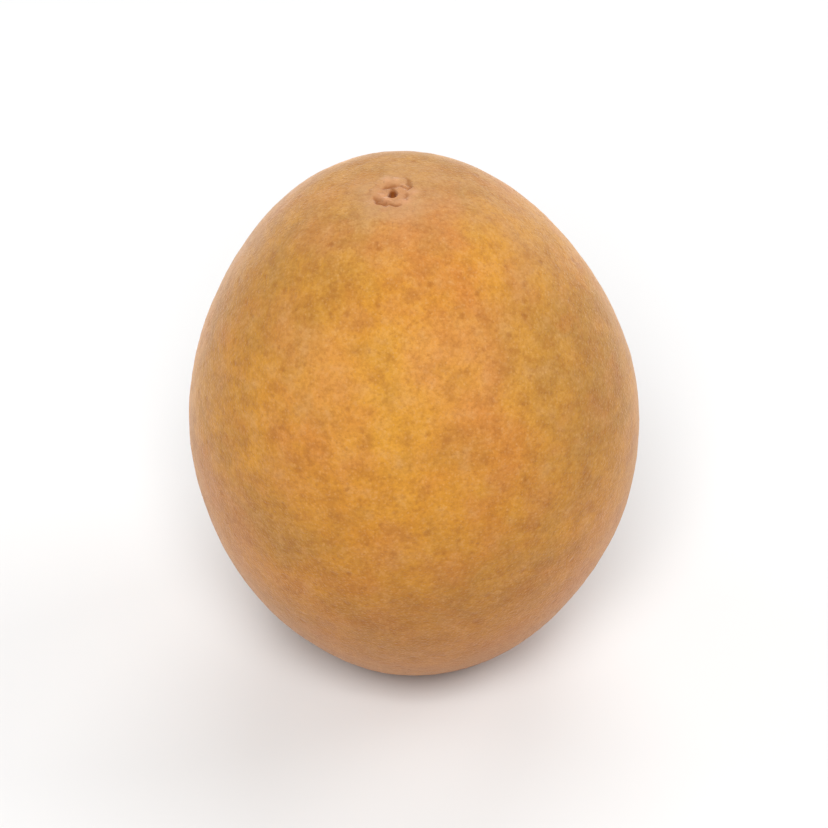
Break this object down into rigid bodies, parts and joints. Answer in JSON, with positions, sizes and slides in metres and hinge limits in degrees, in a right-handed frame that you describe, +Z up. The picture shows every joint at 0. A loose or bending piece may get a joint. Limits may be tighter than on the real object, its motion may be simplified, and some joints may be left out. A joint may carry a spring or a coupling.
{
  "type": "sapodilla",
  "caption": "Whole ripe sapodilla fruit, egg-shaped with scurfy golden-brown skin and a stem scar on top, standing on its blossom end.",
  "frame": {"origin": "middle of the underside of the bounding box, on the surface that the fruit stands on", "axes": "+Z up, towards the stem end; -Y towards the front; the stem leans 3.4 degrees towards -X"},
  "size_m": [0.061, 0.0596, 0.0766],
  "materials": {
    "skin": "matt, finely scurfy golden-brown fruit skin"
  },
  "bodies": {
    "root": {"fruit": "skin"}
  },
  "joints": []
}
